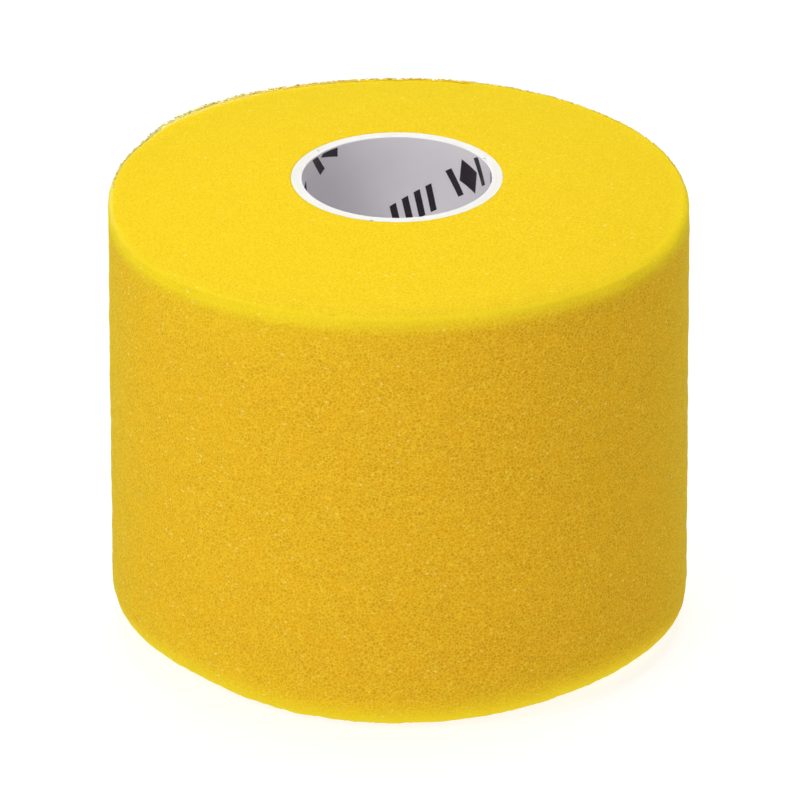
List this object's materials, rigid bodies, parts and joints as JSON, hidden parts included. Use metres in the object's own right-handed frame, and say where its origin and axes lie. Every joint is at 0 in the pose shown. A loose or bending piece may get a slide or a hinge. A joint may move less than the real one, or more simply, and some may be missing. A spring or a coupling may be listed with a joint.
{
  "type": "grip tape roll",
  "caption": "Short fat roll of thin open-cell foam underwrap for racket handles, wound on a printed paper core, with a free end that peels off the side.",
  "frame": {"origin": "on the resting plane, at the middle of the roll's box, which is the core's axis to within 0.3 mm", "axes": "+Z along the core's axis, from the foot to the domed top; the strip winds anticlockwise seen from +Z and its free end lies on the side between +Y and -X"},
  "size_m": [0.0874, 0.0878, 0.072],
  "materials": {
    "foam": "matte",
    "printed_paper": "satin",
    "core_board": "matte",
    "clear_tape": "satin"
  },
  "bodies": {
    "roll": {"core_liner": "printed_paper", "core_ply_inner": "core_board", "core_ply_middle": "core_board", "core_ply_outer": "core_board", "start_tape": "clear_tape", "foam_first_turn": "foam", "foam_pack": "foam", "foam_last_turn": "foam"},
    "tail_1": {"tail_root": "foam"},
    "tail_2": {"tail_second": "foam"},
    "tail_3": {"tail_third": "foam"},
    "tail_4": {"tail_tip": "foam"}
  },
  "joints": [
    {"name": "tail_peel", "type": "hinge", "parent": "roll", "child": "tail_1", "pos_m": [-0.0003, 0.04407, 0.036], "axis": [0, 0, -1], "range_deg": [0, 60]},
    {"name": "tail_straighten_2", "type": "hinge", "parent": "tail_1", "child": "tail_2", "pos_m": [-0.01171, 0.04252, 0.036], "axis": [0, 0, -1], "range_deg": [0, 15]},
    {"name": "tail_straighten_3", "type": "hinge", "parent": "tail_2", "child": "tail_3", "pos_m": [-0.02233, 0.03807, 0.036], "axis": [0, 0, -1], "range_deg": [0, 15]},
    {"name": "tail_straighten_4", "type": "hinge", "parent": "tail_3", "child": "tail_4", "pos_m": [-0.03144, 0.03102, 0.036], "axis": [0, 0, -1], "range_deg": [0, 15]}
  ],
  "couplings": [
    {"joint": "tail_straighten_2", "follows": "tail_peel", "ratio": 0.25},
    {"joint": "tail_straighten_3", "follows": "tail_peel", "ratio": 0.25},
    {"joint": "tail_straighten_4", "follows": "tail_peel", "ratio": 0.25}
  ]
}
